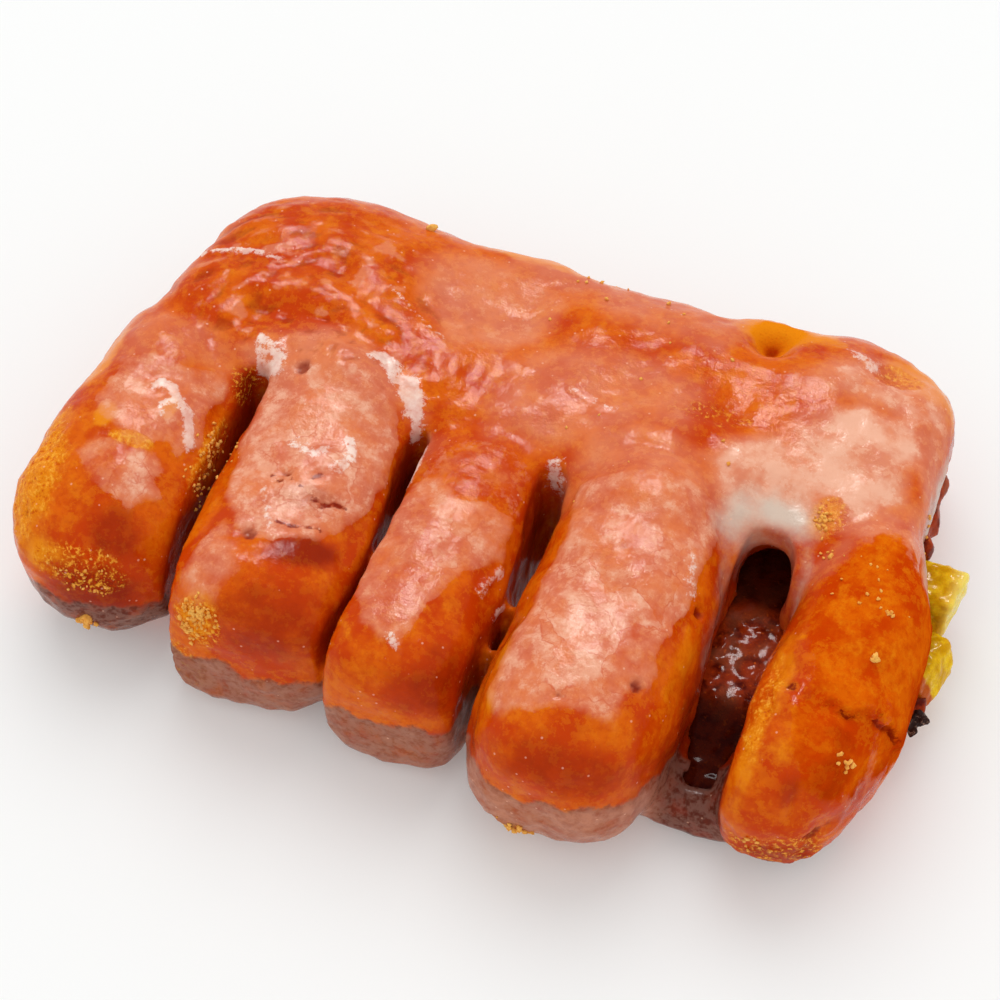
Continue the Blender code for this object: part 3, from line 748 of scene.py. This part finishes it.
def skin_material():
    """Fried crust under a clear glaze that is hazy where it is thick, with painted sheen on the hazy glaze,
    a painted rim reflection, and a painted floor reflection on the fingertips' low band.
    """
    m = Shader("glazed_crust")
    middle = m.noise(4.0, 5, 0.65)
    fine = m.noise(1.3, 4, 0.65)
    speck = m.noise(0.4, 2)
    flecks = m.spread(m.noise(2.4, 5, 0.75), 0.52, 0.56)
    crust, rough = crust_colour(m, middle, fine, speck, flecks)

    dry = m.edge(m.field("dry"), middle, 0.7, 0.42, 0.58)
    wet = m.maths("SUBTRACT", 1.0, dry)
    tear = m.edge(m.field("crack"), fine, 0.9, 0.76, 0.9)

    # Hazy glaze in flakes, plates, veils and streaks along the wrinkles, painted paler as a sheen of the
    # light above
    flake_and_sheen = m.field("flake_and_sheen")
    crisp = m.spread(m.noise(11.0, 2), 0.42, 0.55)
    cover = m.product(m.edge(flake_and_sheen, fine, 0.6, 0.3, 0.4), crisp)
    cover = m.total(cover, m.product(m.edge(flake_and_sheen, middle, 0.5, 0.1, 0.7), m.maths("SUBTRACT", 1.0, crisp)))
    plates = m.field("plates")
    warped = m.warped_place(5.0, 5.0)
    plate_tone = m.spread(m.cells(PLATE_SIZE, "F1", "Color", warped), 0.3, 0.75, -0.12, 0.14)
    mottling = m.spread(middle, 0.3, 0.7, -0.26, 0.2)
    tone = m.total(m.product(flake_and_sheen, 0.85), m.product(plates, plate_tone), mottling)
    veil_and_sheen = m.product(m.field("haze_and_sheen"), m.spread(m.noise(6.5, 5, 0.62), 0.34, 0.64, 0.72, 1.15))
    streak = m.product(m.edge(m.field("streak"), fine, 0.9, 0.35, 0.9), 0.42)
    share = m.maths("MAXIMUM", m.product(cover, tone), m.maths("MAXIMUM", veil_and_sheen, streak))
    held = m.product(m.spread(rough, 0.0, 1.0, 1.0, 0.45), m.spread(m.field("hollow"), 0.2, 0.9, 1.0, 0.1))
    share = m.product(share, wet, held, m.spread(flecks, 0.0, 1.0, 0.92, 1.08))
    skin = m.mix(share, crust, HAZE_AND_SHEEN_PINK)
    # Painted sheen: where the haze is thickest it turns paler still
    skin = m.mix(m.product(m.spread(share, 0.5, 1.05), 0.8), skin, PALE_GLAZE_AND_SHEEN)

    to_plate_edge = m.cells(PLATE_SIZE, "DISTANCE_TO_EDGE", "Distance", warped)
    hairline = m.spread(to_plate_edge, 0.0, 0.028, 1.0, 0.0)
    hairline = m.product(hairline, cover, m.spread(plates, 0.2, 0.6), m.spread(middle, 0.44, 0.56))
    skin = m.mix(m.product(hairline, 0.45), skin, RUSSET)
    skin = m.mix(m.product(tear, 0.75), skin, BURNT_RED)
    # The low band on the fingertips: run-down glaze painted with a reflection of the floor, paler in places
    # as a painted highlight
    band = m.edge(m.field("band"), fine, 0.7, 0.3, 0.7)
    pale_band_reflection = m.product(m.field("pale_band_reflection"), m.spread(middle, 0.3, 0.65, 0.5, 1.3))
    band = m.product(band, m.spread(middle, 0.3, 0.55, 0.6, 0.92))
    low_glaze_and_reflection = m.mix(m.spread(fine, 0.44, 0.62), BAND_MAUVE_AND_REFLECTION, BAND_BROWN_AND_REFLECTION)
    skin = m.mix(band, skin, m.mix(pale_band_reflection, low_glaze_and_reflection, HAZE_AND_SHEEN_PINK))
    skin = m.mix(m.product(m.edge(m.field("milk"), middle, 0.6, 0.15, 0.9), 0.88), skin, MILK_GREY)
    white = m.edge(m.field("sugar"), m.noise(1.8, 6, 0.8), 1.9, 0.45, 0.7)
    skin = m.mix(m.product(white, m.spread(middle, 0.3, 0.7, 0.35, 0.85)), skin, SUGAR_WHITE)
    # Pale specks: bubbles in the glaze and painted glints
    bubbles_and_glints = m.product(m.spread(m.cells(2.6), 0.05, 0.1, 1.0, 0.0), wet)
    skin = m.mix(m.product(bubbles_and_glints, 0.5), skin, PALE_GLAZE_AND_SHEEN)

    relief = m.bump(m.total(m.product(fine, 0.8), middle), 0.35, 0.35)
    relief = m.bump(m.noise(0.9, 3, 0.7), 0.35, m.spread(rough, 0.0, 1.0, 0.04, 0.9), relief)
    relief = m.bump(speck, 0.12, m.spread(dry, 0.0, 1.0, 0.12, 1.0), relief)
    m.set(Base_Color=skin, Normal=relief, Roughness=m.spread(dry, 0.0, 1.0, 0.45, 0.8))
    m.set(Specular_IOR_Level=0.0)
    m.set(Coat_Weight=m.product(wet, m.spread(rough, 0.0, 1.0, 0.9, 0.5)), Coat_Roughness=0.13)
    m.set(Coat_Normal=relief, Coat_IOR=GLAZE_IOR)
    return m.material


def filling_material():
    """Dark, wet apple filling with lighter bits, painted gleams and painted shade."""
    m = Shader("dark_filling")
    coarse = m.noise(3.0, 4, 0.6)
    fine = m.noise(0.9, 3, 0.6)
    body = m.mix(m.spread(coarse, 0.35, 0.6), FILLING_DARK, FILLING_BROWN)
    body = m.mix(m.spread(fine, 0.6, 0.72), body, FILLING_BITS)
    body = m.mix(m.product(m.field("gleam"), 0.4), body, FILLING_PALE)
    # Painted shade at both ends of the wide gap
    body = m.mix(m.product(m.field("dark"), 0.85), body, FILLING_SHADE)
    m.set(Base_Color=body, Roughness=0.45, Normal=m.bump(m.total(coarse, fine), 0.5, 0.6))
    m.set(Specular_IOR_Level=0.0)
    m.set(Coat_Weight=m.spread(m.field("dark"), 0.0, 1.0, 0.7, 0.3), Coat_Roughness=0.1, Coat_IOR=GLAZE_IOR)
    return m.material


def apple_material():
    """Cooked apple: translucent yellow, with pale places and darker brown ends."""
    m = Shader("cooked_apple")
    streak = m.noise(2.2, 4, 0.6)
    fine = m.noise(0.6, 3, 0.6)
    flesh = m.mix(m.spread(streak, 0.35, 0.7), APPLE_OCHRE, APPLE_YELLOW)
    flesh = m.mix(m.field("pale"), flesh, APPLE_PALE)
    flesh = m.mix(m.edge(m.field("darker_end"), fine, 0.6, 0.35, 0.7), flesh, APPLE_BROWN)
    m.set(Base_Color=flesh, Roughness=0.35, Normal=m.bump(m.total(streak, fine), 0.3, 0.5))
    m.set(Specular_IOR_Level=0.0)
    m.set(Coat_Weight=0.8, Coat_Roughness=0.12, Coat_IOR=GLAZE_IOR)
    m.set(Subsurface_Weight=0.3, Subsurface_Radius=(1.0, 0.7, 0.15), Subsurface_Scale=2.5 * MM)
    return m.material


def crumb_material():
    m = Shader("golden_crumb")
    tint = m.mix(m.noise(1.5, 2), CRUMB_BROWN, CRUMB_PALE)
    m.set(Base_Color=tint, Roughness=0.6, Normal=m.bump(m.noise(0.3, 2), 0.1, 0.6))
    m.set(Specular_IOR_Level=0.05)
    return m.material


def burnt_material():
    m = Shader("burnt_scrap")
    tint = m.mix(m.spread(m.noise(0.8, 3, 0.7), 0.52, 0.72), CHAR_BLACK, CHAR_ASH)
    m.set(Base_Color=tint, Roughness=0.5, Normal=m.bump(m.noise(0.5, 3), 0.3, 0.8))
    m.set(Specular_IOR_Level=0.1)
    return m.material


def arc_noise(places):
    """Noise drawn out into wrinkles that run in arcs about the wrinkle centre."""
    out_x, out_y = places[:, 0] - WRINKLE_CENTRE[0], places[:, 1] - WRINKLE_CENTRE[1]
    away = np.hypot(out_x, out_y) + layered(places, ARC_WANDER)
    round_about = np.arctan2(out_y, out_x) * ARC_RADIUS
    return layered(np.stack((away, round_about, places[:, 2] * ARC_HEIGHT_SHARE), axis=1), ARCS)


def wrinkled_share(places):
    """1 all over the wrinkled patch, fading out beyond its border."""
    return np.clip(2.0 * patch_field(places, (WRINKLES,)), 0.0, 1.0)


def band_fields(places):
    """How far the low band of glaze and painted floor reflection covers each point of the fingertips, and
    how far its pale painted highlight does.
    """
    x, y, z = places.T
    blend_at = [edge for look in FINGER_LOOKS for edge in (look.left + LOOK_BLEND, look.right - LOOK_BLEND)]
    top = np.interp(x, blend_at, np.repeat([look.band_top for look in FINGER_LOOKS], 2))
    haze_and_sheen = np.interp(x, blend_at, np.repeat([look.band_reflection for look in FINGER_LOOKS], 2))
    depth = top - z + layered(places, *DRIPS)
    band = smoothstep(depth, -DRIP_SOFTNESS, DRIP_SOFTNESS) * smoothstep(-y, 34.0, 39.0)
    return band, band * haze_and_sheen


def painted_rim_reflection(places, normals):
    """Painted reflection of the bright room: a pale rim down the left side and on the back."""
    y, z = places[:, 1], places[:, 2]
    left = smoothstep(-normals[:, 0], 0.3, 0.8) * smoothstep(y, -14.0, 0.0) * smoothstep(z, 8.0, 16.0)
    back = smoothstep(normals[:, 1], 0.4, 0.9) * smoothstep(z, 6.0, 14.0)
    return RIM_REFLECTION_STRENGTH * np.maximum(left, back)


def finger_walls(places, normals):
    """1 on the steep sides of the fingers and of the slab, where browner crust and painted shade go, and 0
    on the tips' faces, on top and low down.
    """
    steep = smoothstep(-normals[:, 2], -0.75, 0.1) * smoothstep(places[:, 2], 6.0, 20.0)
    return steep * smoothstep(normals[:, 1], -0.9, -0.4)


def skin_fields(places, normals):
    """The soft fields for each point of the skin, by name."""
    wander = layered(places, WANDER)
    on_top = smoothstep(places[:, 2] + wander, 22.0, 27.0) * smoothstep(normals[:, 2], 0.2, 0.55)
    band, pale_band_reflection = band_fields(places)
    # Flakes, veils and wrinkle streaks of hazy glaze, painted paler also as a sheen of the light above
    flake_and_sheen = sheet_field(places, FLAKES, layered(places, *FLAKE_BORDER)) * on_top
    veil_and_sheen = sheet_field(places, VEILS, VEIL_WANDER * wander) * on_top
    streak = smoothstep(arc_noise(places) + layered(places, STREAK_BREAKS), 0.1, 0.6)
    # Darker, redder crust, with painted shade on the fingers' fronts and down the walls of the slits
    deep_and_shade = np.maximum(patch_field(places, DEEP_AND_SHADE), WALL_BROWNING_AND_SHADE * finger_walls(places, normals))
    tear = np.clip(1.0 - distance_to_line(places, SKIN_TEAR) / TEAR_WIDTH, 0.0, 1.0)
    return {
        "flake_and_sheen": flake_and_sheen,
        # Hazy glaze and painted sheen, together with the painted rim reflection
        "haze_and_sheen": np.maximum(veil_and_sheen, painted_rim_reflection(places, normals)),
        "pale_band_reflection": pale_band_reflection,
        "streak": wrinkled_share(places) * on_top * streak,
        "plates": patch_field(places, PLATES),
        "sugar": stroke_field(places, SUGAR),
        "milk": stroke_field(places, MILK) * (0.85 + layered(places, MILK_CLOUDS)),
        "dry": patch_field(places, DRY),
        "golden": patch_field(places, GOLDEN),
        "deep_and_shade": np.maximum(deep_and_shade, patch_field(places, BURSTS)),
        "rough": patch_field(places, ROUGH),
        "crack": np.maximum(stroke_field(places, CRACKS), tear),
        "band": band,
    }


def torn_edge(places):
    """How far the torn skin of the last finger stands up in mm: it ends in a ragged step along the tear."""
    line = np.array(SKIN_TEAR)
    order = np.argsort(line[:, 0])
    torn_at = np.interp(places[:, 0], line[order, 0], line[order, 1]) + layered(places, TORN_RAGGED)
    behind = places[:, 1] - torn_at
    near = smoothstep(places[:, 0], 57.0, 62.0) * smoothstep(places[:, 2], 14.0, 20.0)
    return near * TORN_RISE * smoothstep(behind, -0.3, 0.5) * smoothstep(-behind, -TORN_REACH, 0.0)


def skin_relief(places, fields):
    """How far each point of the skin moves out along its normal in mm, and how much painted shade each
    recessed place gets.
    """
    z = places[:, 2]
    small = layered(places, *BLISTERS)
    small += fields["rough"] * layered(places, GRAINS)
    small += patch_field(places, (FLANK,)) * layered(places, FLANK_FOLDS)
    small += fields["band"] * layered(places, BAND_UNEVENNESS)
    small -= CRACK_DEPTH * smoothstep(fields["crack"], 0.55, 1.0)
    pit = smoothstep(patch_field(places, BURSTS), 0.3, 0.9)
    arcs = wrinkled_share(places) * smoothstep(z, 22.0, 30.0) * arc_noise(places)
    height = small - PIT_DEPTH * pit + layered(places, *SWELLINGS) + WRINKLE_RISE * arcs
    height += torn_edge(places) - CREASE_DEPTH * stroke_field(places, CREASES) ** 2
    height += FLAKE_RISE * smoothstep(fields["flake_and_sheen"], 0.2, 0.5)
    height += SUGAR_RISE * smoothstep(fields["sugar"], 0.35, 0.7)
    height += MILK_RISE * smoothstep(fields["milk"], 0.2, 1.0)
    height += BAND_RISE * fields["band"]
    # Painted shade in recesses: in dips of the relief, between the wrinkles and on the pits' floors
    hollow = np.maximum(smoothstep(-small, 0.16, 0.55), 0.5 * smoothstep(-arcs, 0.05, 0.4))
    hollow = np.maximum(hollow, 0.7 * pit)
    return height * smoothstep(z, 0.0, 1.5), hollow


def make_skin():
    skin = fine_copy("dough", "pastry", SKIN_VOXEL, SKIN_SMOOTHING)
    places, normals = read_points(skin.data)
    fields = skin_fields(places, normals)
    height, fields["hollow"] = skin_relief(places, fields)
    moved = places + normals * height[:, None]
    moved[:, 2] = np.maximum(moved[:, 2], 0.0)
    write_points(skin.data, moved)
    for name, values in fields.items():
        write_field(skin.data, name, values)
    finish_piece(skin, skin_material(), "crust", "dough")
    return skin


def make_filling():
    """The filling, with painted shade at both ends of the wide gap."""
    filling = fine_copy("filling", "apple_filling", FILLING_VOXEL, FILLING_SMOOTHING)
    places, normals = read_points(filling.data)
    height = layered(places, FILLING_WAVES) + np.abs(layered(places, FILLING_LUMPS))
    write_points(filling.data, places + normals * height[:, None])
    x, y, z = places.T
    gleam = smoothstep(layered(places, FILLING_GLEAMS), 0.0, 0.4) * smoothstep(z, 9.0, 14.0)
    write_field(filling.data, "gleam", gleam)
    # Painted shade at both ends of the wide gap
    in_gap = smoothstep(-x, -64.0, -60.0)
    shaded = np.maximum(smoothstep(y, -10.0, -4.0), smoothstep(-y, 23.0, 28.0))
    write_field(filling.data, "dark", in_gap * shaded)
    finish_piece(filling, filling_material(), "apple_filling", "filling")


def make_apple(node, material):
    """A piece of apple: the upper one pale at its outer end and darker brown towards its bottom, the lower
    darker brown towards -Y.
    """
    apple = fine_copy(node, node + "_flesh", APPLE_VOXEL, APPLE_SMOOTHING)
    places, normals = read_points(apple.data)
    height = layered(places, *APPLE_RELIEF)
    write_points(apple.data, places + normals * height[:, None])
    low, high = places.min(axis=0), places.max(axis=0)
    share = (places - low) / (high - low)
    write_field(apple.data, "pale", smoothstep(share[:, 0], 0.7, 1.0) * (node == "apple_upper"))
    # Darker brown towards the bottom of the upper piece and towards -Y on the lower one
    brown_end = 1.0 - share[:, 1] if node == "apple_lower" else 1.0 - share[:, 2]
    write_field(apple.data, "darker_end", smoothstep(brown_end, 0.65, 0.95))
    finish_piece(apple, material, "apple", node)


def add_lump(bm, centre, size, rng, unevenness):
    """Adds a small uneven lump to bm."""
    made = bmesh.ops.create_icosphere(bm, subdivisions=LUMP_CUTS, radius=1.0)["verts"]
    angle = rng.uniform(0, math.tau)
    axis = Vector([rng.uniform(-1, 1) for _ in range(3)]).normalized()
    turn = Matrix.Rotation(angle, 3, axis)
    stretch = Vector([rng.uniform(0.6, 1.3) for _ in range(3)])
    for vert in made:
        swell = 1 + rng.uniform(-unevenness, unevenness)
        place = Vector(a * b for a, b in zip(vert.co, stretch)) * swell * size
        vert.co = (turn @ place + Vector(centre)) * MM


class CrumbCluster(NamedTuple):
    """Crumbs around a place on the skin: how far they spread, how many, and their half sizes."""

    centre: tuple
    spread: float
    count: int
    sizes: tuple


CRUMB_CLUSTERS = (
    CrumbCluster((-36.5, -46.5, 29.0), 2.6, 80, (0.18, 0.45)),
    CrumbCluster((-38.0, -47.0, 24.0), 2.6, 30, (0.15, 0.4)),
    CrumbCluster((-60.4, -44.7, 11.2), 1.6, 16, (0.3, 0.75)),
    CrumbCluster((-60.0, -43.5, 24.0), 6.0, 30, (0.15, 0.35)),
    CrumbCluster((-47.8, -15.0, 28.5), 3.4, 40, (0.15, 0.4)),
    CrumbCluster((-48.0, -21.0, 26.0), 4.0, 30, (0.15, 0.35)),
    CrumbCluster((56.5, 3.0, 31.0), 2.0, 22, (0.2, 0.5)),
    CrumbCluster((58.0, -2.5, 31.0), 2.0, 8, (0.2, 0.4)),
    CrumbCluster((70.9, -22.7, 34.0), 0.5, 4, (0.35, 0.55)),
    CrumbCluster((71.4, -14.0, 34.0), 0.5, 4, (0.3, 0.5)),
    CrumbCluster((66.9, -9.0, 34.9), 9.0, 16, (0.12, 0.3)),
    CrumbCluster((71.0, -40.1, 29.4), 1.8, 9, (0.2, 0.45)),
    CrumbCluster((61.0, -50.5, 16.0), 4.0, 10, (0.2, 0.4)),
    CrumbCluster((21.5, -56.4, 7.0), 2.8, 46, (0.2, 0.55)),
    CrumbCluster((12.0, 42.5, 28.0), 10.0, 10, (0.2, 0.45)),
    CrumbCluster((-28.0, 45.0, 30.0), 0.6, 3, (0.7, 1.0)),
    CrumbCluster((20.0, 20.0, 33.0), 20.0, 14, (0.15, 0.35)),
    CrumbCluster((74.5, 12.0, 22.0), 4.0, 6, (0.2, 0.4)),
)


def make_crumbs(skin):
    """Golden crumbs stuck on the skin."""
    rng = random.Random(CRUMB_SEED)
    mesh = skin.data
    tree = BVHTree.FromPolygons([v.co for v in mesh.vertices], [p.vertices for p in mesh.polygons])
    bm = bmesh.new()
    for cluster in CRUMB_CLUSTERS:
        for _ in range(cluster.count):
            offset = Vector([rng.gauss(0, 0.5) for _ in range(3)]) * cluster.spread
            spot, normal, _, _ = tree.find_nearest((Vector(cluster.centre) + offset) * MM)
            size = rng.uniform(*cluster.sizes)
            add_lump(bm, spot / MM + normal * size * 0.4, size, rng, CRUMB_UNEVENNESS)
    crumbs = object_from(mesh_from(bm, "crumbs"), "crumbs")
    finish_piece(crumbs, crumb_material(), "crust")


def make_burnt_scrap():
    """The charred scrap that sticks out below the lower piece of apple: lumps fused into one."""
    rng = random.Random(SCRAP_SEED)
    bm = bmesh.new()
    for _ in range(SCRAP_LUMPS):
        offset = Vector([rng.gauss(0, spread) for spread in SCRAP_SPREAD])
        add_lump(bm, Vector(SCRAP_CENTRE) + offset, rng.uniform(*SCRAP_LUMP_SIZES), rng, SCRAP_UNEVENNESS)
    scrap = object_from(mesh_from(bm, "burnt_scrap"), "burnt_scrap")
    add_remesh(scrap, SCRAP_VOXEL)
    apply_modifiers(scrap)
    places, normals = read_points(scrap.data)
    write_points(scrap.data, places + normals * layered(places, SCRAP_RELIEF)[:, None])
    finish_piece(scrap, burnt_material(), "apple_filling")


def aim(thing, target):
    """Turns a camera or lamp to face the target."""
    direction = Vector(target) - thing.location
    thing.rotation_mode = "QUATERNION"
    thing.rotation_quaternion = direction.to_track_quat("-Z", "Y")


def towards(azimuth, elevation):
    """The direction from the object to what stands at this azimuth and elevation, in degrees."""
    a, e = math.radians(azimuth), math.radians(elevation)
    return Vector((math.sin(a) * math.cos(e), -math.cos(a) * math.cos(e), math.sin(e)))


def make_camera():
    data = bpy.data.cameras.new("camera")
    data.lens = CAMERA_LENS
    data.sensor_width = CAMERA_SENSOR
    data.clip_start = 0.01
    camera = bpy.data.objects.new("camera", data)
    camera.location = Vector(CAMERA_TARGET) + towards(CAMERA_AZIMUTH, CAMERA_ELEVATION) * CAMERA_DISTANCE
    aim(camera, CAMERA_TARGET)
    bpy.context.scene.collection.objects.link(camera)
    bpy.context.scene.camera = camera


def add_sun(name, azimuth, elevation, strength, width):
    """A broad soft light from far away: width is how wide it looks, in degrees."""
    data = bpy.data.lights.new(name, "SUN")
    data.energy = strength
    data.angle = math.radians(width)
    lamp = bpy.data.objects.new(name, data)
    lamp.location = towards(azimuth, elevation)
    aim(lamp, (0.0, 0.0, 0.0))
    bpy.context.scene.collection.objects.link(lamp)
    return lamp


def make_studio():
    """A plain pale floor, even light all round, and a window above and behind that gleams in the glaze."""
    mesh = bpy.data.meshes.new("floor")
    corners = [(x * FLOOR_REACH, y * FLOOR_REACH, 0) for x, y in ((-1, -1), (1, -1), (1, 1), (-1, 1))]
    mesh.from_pydata(corners, [], [(0, 1, 2, 3)])
    floor = object_from(mesh, "floor")
    floor.location.z = -0.05 * MM
    m = Shader("pale_floor")
    m.set(Base_Color=FLOOR_GREY, Specular_IOR_Level=0.0)
    m.set(Emission_Color=WHITE, Emission_Strength=FLOOR_GLOW)
    mesh.materials.append(m.material)
    soft = add_sun("soft_light", 199.0, 57.0, 0.85, 45.0)
    soft.visible_glossy = False
    window = add_sun("window", 199.0, 56.0, 3.2, 15.0)
    window.visible_diffuse = False
    world = bpy.data.worlds.new("room")
    world.use_nodes = True
    background = world.node_tree.nodes["Background"]
    background.inputs["Color"].default_value = WHITE
    background.inputs["Strength"].default_value = ROOM_STRENGTH
    bpy.context.scene.world = world
    bpy.context.scene.view_settings.view_transform = "Standard"


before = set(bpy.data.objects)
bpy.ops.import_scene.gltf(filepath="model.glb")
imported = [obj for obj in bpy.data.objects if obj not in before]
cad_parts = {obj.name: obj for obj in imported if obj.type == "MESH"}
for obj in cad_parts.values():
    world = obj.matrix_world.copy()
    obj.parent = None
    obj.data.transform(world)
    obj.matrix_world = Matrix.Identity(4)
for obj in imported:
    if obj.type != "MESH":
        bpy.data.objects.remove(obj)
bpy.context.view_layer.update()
make_camera()
make_studio()
skin = make_skin()
make_filling()
flesh = apple_material()
for node in ("apple_upper", "apple_lower"):
    make_apple(node, flesh)
make_crumbs(skin)
make_burnt_scrap()
